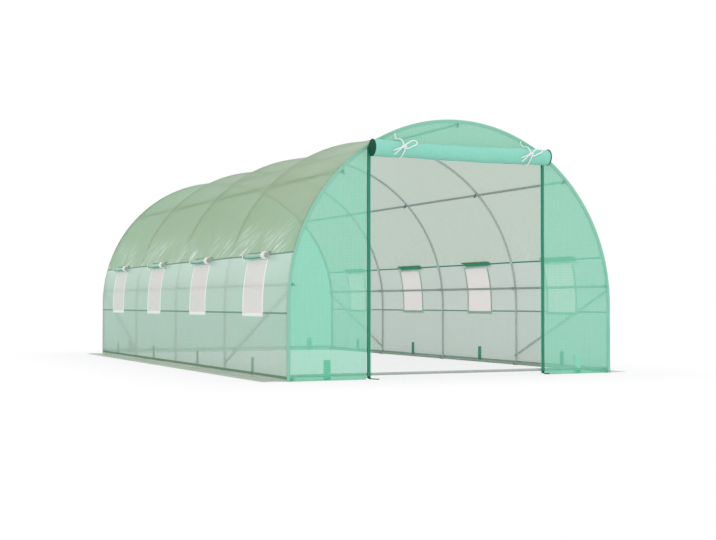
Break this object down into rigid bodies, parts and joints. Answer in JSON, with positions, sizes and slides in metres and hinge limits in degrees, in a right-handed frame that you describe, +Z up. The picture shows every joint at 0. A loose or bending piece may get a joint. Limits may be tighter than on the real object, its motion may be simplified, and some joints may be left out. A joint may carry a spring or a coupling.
{
  "type": "polytunnel greenhouse",
  "caption": "Walk-in tunnel greenhouse: tubular steel hoops, purlins and rails under a translucent green woven cover, with netted windows along both sides and a roll-up door at one end",
  "frame": {"origin": "on the ground, at the middle of the whole object's box", "axes": "+X to the right seen from the door end, +Y from the door end to the far end along the tunnel, +Z up"},
  "size_m": [3.37, 6.17, 2.13],
  "materials": {
    "galvanised_tube": "zinc-coated steel tube, dull grey with a faint sheen",
    "clip_plastic": "moulded polypropylene, dark grey, satin",
    "side_sheet": "woven and laminated polyethylene sheet, translucent pale sage green, glossy, with a fine grid",
    "end_sheet": "woven and laminated polyethylene sheet, translucent mint green, glossy, with a fine grid",
    "window_netting": "fine white insect netting",
    "zip_binding": "woven tape in dark green, sewn over a coil zip",
    "strap_webbing": "folded strip of woven sheet, green",
    "tie_cord": "braided white polypropylene cord"
  },
  "bodies": {
    "root": {"hoop_1": "galvanised_tube", "hoop_2": "galvanised_tube", "hoop_3": "galvanised_tube", "hoop_4": "galvanised_tube", "hoop_5": "galvanised_tube", "left_legs": "galvanised_tube", "right_legs": "galvanised_tube", "ridge_purlin": "galvanised_tube", "left_upper_purlin": "galvanised_tube", "right_upper_purlin": "galvanised_tube", "left_side_purlin": "galvanised_tube", "right_side_purlin": "galvanised_tube", "left_ground_rail": "galvanised_tube", "right_ground_rail": "galvanised_tube", "end_ground_rails": "galvanised_tube", "left_braces": "galvanised_tube", "right_braces": "galvanised_tube", "ridge_clips": "clip_plastic", "upper_clips": "clip_plastic", "side_clips": "clip_plastic", "foot_clips": "clip_plastic", "left_lower_wall": "side_sheet", "right_lower_wall": "side_sheet", "left_window_band": "side_sheet", "right_window_band": "side_sheet", "left_roof_lower": "side_sheet", "right_roof_lower": "side_sheet", "left_roof_upper": "side_sheet", "right_roof_upper": "side_sheet", "front_left_panel": "end_sheet", "front_right_panel": "end_sheet", "front_head_panel": "end_sheet", "rear_panel": "end_sheet", "left_ground_flap": "side_sheet", "right_ground_flap": "side_sheet", "left_window_mesh": "window_netting", "right_window_mesh": "window_netting", "left_window_rolls": "end_sheet", "right_window_rolls": "end_sheet", "door_roll": "end_sheet", "door_zips": "zip_binding", "side_anchor_straps": "strap_webbing", "end_anchor_straps": "strap_webbing", "left_tie_bow": "tie_cord", "left_tie_tail": "tie_cord", "right_tie_bow": "tie_cord", "right_tie_tail": "tie_cord"}
  },
  "joints": []
}
